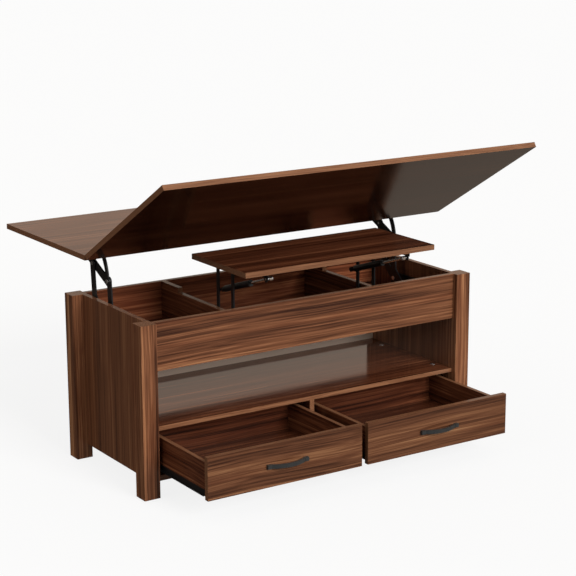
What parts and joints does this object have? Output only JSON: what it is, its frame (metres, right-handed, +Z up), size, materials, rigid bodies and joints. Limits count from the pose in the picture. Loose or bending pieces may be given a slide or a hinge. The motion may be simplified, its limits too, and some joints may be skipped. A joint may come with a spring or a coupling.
{
  "type": "lift top coffee table",
  "caption": "Coffee table whose two-leaf top lifts and folds open, with hidden compartments, a rising work board, an open shelf and drawers.",
  "frame": {"origin": "on the floor, under the middle of the table as shown: top raised, front leaf tilted and drawers open", "axes": "+X along the table to the right, +Y towards the back, +Z up"},
  "size_m": [1.2, 1.0004, 0.9058],
  "materials": {
    "walnut_upright": "semi-gloss walnut laminate, grain running up",
    "walnut_top": "semi-gloss walnut laminate, grain running along the table",
    "walnut_carcass": "semi-gloss walnut laminate, grain running along the table",
    "walnut_drawer": "semi-gloss walnut laminate, grain running along the table",
    "black_steel": "satin black powder coat",
    "dark_bronze": "satin dark bronze",
    "zinc": "zinc plated",
    "chrome_rod": "polished",
    "glide_plastic": "matte",
    "bumper_rubber": "matte"
  },
  "bodies": {
    "carcass": {"leg_front_left": "walnut_upright", "leg_front_right": "walnut_upright", "leg_rear_left": "walnut_upright", "leg_rear_right": "walnut_upright", "foot_glides": "glide_plastic", "side_panel_left": "walnut_upright", "side_panel_right": "walnut_upright", "front_panel": "walnut_carcass", "back_panel": "walnut_carcass", "lower_back_panel": "walnut_carcass", "compartment_floor": "walnut_carcass", "partition_left": "walnut_carcass", "partition_right": "walnut_carcass", "shelf_board": "walnut_carcass", "drawer_divider": "walnut_carcass", "bottom_board": "walnut_carcass", "cam_locks": "zinc", "lid_base_left": "black_steel", "lid_base_right": "black_steel", "work_base_left": "black_steel", "work_base_right": "black_steel", "base_pins": "zinc", "base_screws": "zinc", "drawer_rails": "black_steel"},
    "lid_rear_arms": {"lid_rear_arm_left": "black_steel", "lid_rear_arm_right": "black_steel"},
    "lid_front_arms": {"lid_front_arm_left": "black_steel", "lid_front_arm_right": "black_steel"},
    "rear_top": {"leaf_rear": "walnut_top", "lid_carrier_left": "black_steel", "lid_carrier_right": "black_steel", "lid_pins": "zinc", "lid_bumpers": "bumper_rubber", "rear_leaf_hinges": "dark_bronze", "rear_leaf_screws": "zinc"},
    "front_top": {"leaf_front": "walnut_top", "front_leaf_hinges": "dark_bronze", "front_leaf_screws": "zinc"},
    "work_rear_arms": {"work_rear_arm_left": "black_steel", "work_rear_arm_right": "black_steel"},
    "work_front_arms": {"work_front_arm_left": "black_steel", "work_front_arm_right": "black_steel"},
    "work_top": {"work_board": "walnut_top", "work_bracket_left": "black_steel", "work_bracket_right": "black_steel", "work_pins": "zinc"},
    "struts_upper": {"strut_rods": "chrome_rod"},
    "struts_lower": {"strut_cylinders": "black_steel"},
    "drawer_left": {"drawer_front_left": "walnut_drawer", "drawer_sides_left": "walnut_drawer", "drawer_back_left": "walnut_drawer", "drawer_bottom_left": "walnut_drawer", "drawer_handle_left": "dark_bronze", "drawer_runners_left": "black_steel"},
    "drawer_right": {"drawer_front_right": "walnut_drawer", "drawer_sides_right": "walnut_drawer", "drawer_back_right": "walnut_drawer", "drawer_bottom_right": "walnut_drawer", "drawer_handle_right": "dark_bronze", "drawer_runners_right": "black_steel"}
  },
  "joints": [
    {"name": "lid_lift", "type": "hinge", "parent": "carcass", "child": "lid_rear_arms", "pos_m": [0, 0.07154, 0.42181], "axis": [1, 0, 0], "range_deg": [0, 106.92]},
    {"name": "lid_front_swing", "type": "hinge", "parent": "carcass", "child": "lid_front_arms", "pos_m": [0, -0.00847, 0.38373], "axis": [1, 0, 0], "range_deg": [-0.01, 106.93]},
    {"name": "lid_level", "type": "hinge", "parent": "lid_rear_arms", "child": "rear_top", "pos_m": [0, 0.14535, 0.58378], "axis": [1, 0, 0], "range_deg": [-106.93, 0.01]},
    {"name": "leaf_fold", "type": "hinge", "parent": "rear_top", "child": "front_top", "pos_m": [0, -0.01015, 0.6478], "axis": [-1, 0, 0], "range_deg": [-30.4, 149.6]},
    {"name": "work_rear_swing", "type": "hinge", "parent": "carcass", "child": "work_rear_arms", "pos_m": [0, -0.10315, 0.423], "axis": [1, 0, 0], "range_deg": [-77.2, 0.02]},
    {"name": "work_front_swing", "type": "hinge", "parent": "carcass", "child": "work_front_arms", "pos_m": [0, -0.18115, 0.423], "axis": [1, 0, 0], "range_deg": [-77.2, 0.02]},
    {"name": "work_level", "type": "hinge", "parent": "work_rear_arms", "child": "work_top", "pos_m": [0, -0.10315, 0.601], "axis": [1, 0, 0], "range_deg": [-0.02, 77.2]},
    {"name": "strut_swing", "type": "hinge", "parent": "work_top", "child": "struts_upper", "pos_m": [0, -0.34485, 0.598], "axis": [1, 0, 0], "range_deg": [-0.02, 12.65]},
    {"name": "strut_slide", "type": "slide", "parent": "struts_upper", "child": "struts_lower", "axis": [0, -0.9517, 0.3071], "range_m": [-0.0001, 0.09067]},
    {"name": "drawer_left_slide", "type": "slide", "parent": "carcass", "child": "drawer_left", "axis": [0, 1, 0], "range_m": [0, 0.26]},
    {"name": "drawer_right_slide", "type": "slide", "parent": "carcass", "child": "drawer_right", "axis": [0, 1, 0], "range_m": [0, 0.26]}
  ],
  "couplings": [
    {"joint": "lid_front_swing", "follows": "lid_lift", "ratio": 1},
    {"joint": "lid_level", "follows": "lid_lift", "ratio": -1},
    {"joint": "work_rear_swing", "follows": "lid_lift", "ratio": -0.72182},
    {"joint": "work_front_swing", "follows": "lid_lift", "ratio": -0.72182},
    {"joint": "work_level", "follows": "lid_lift", "ratio": 0.72182},
    {"joint": "strut_swing", "follows": "lid_lift", "ratio": 0.1181},
    {"joint": "strut_slide", "follows": "lid_lift", "m_per_rad": 0.048532}
  ]
}
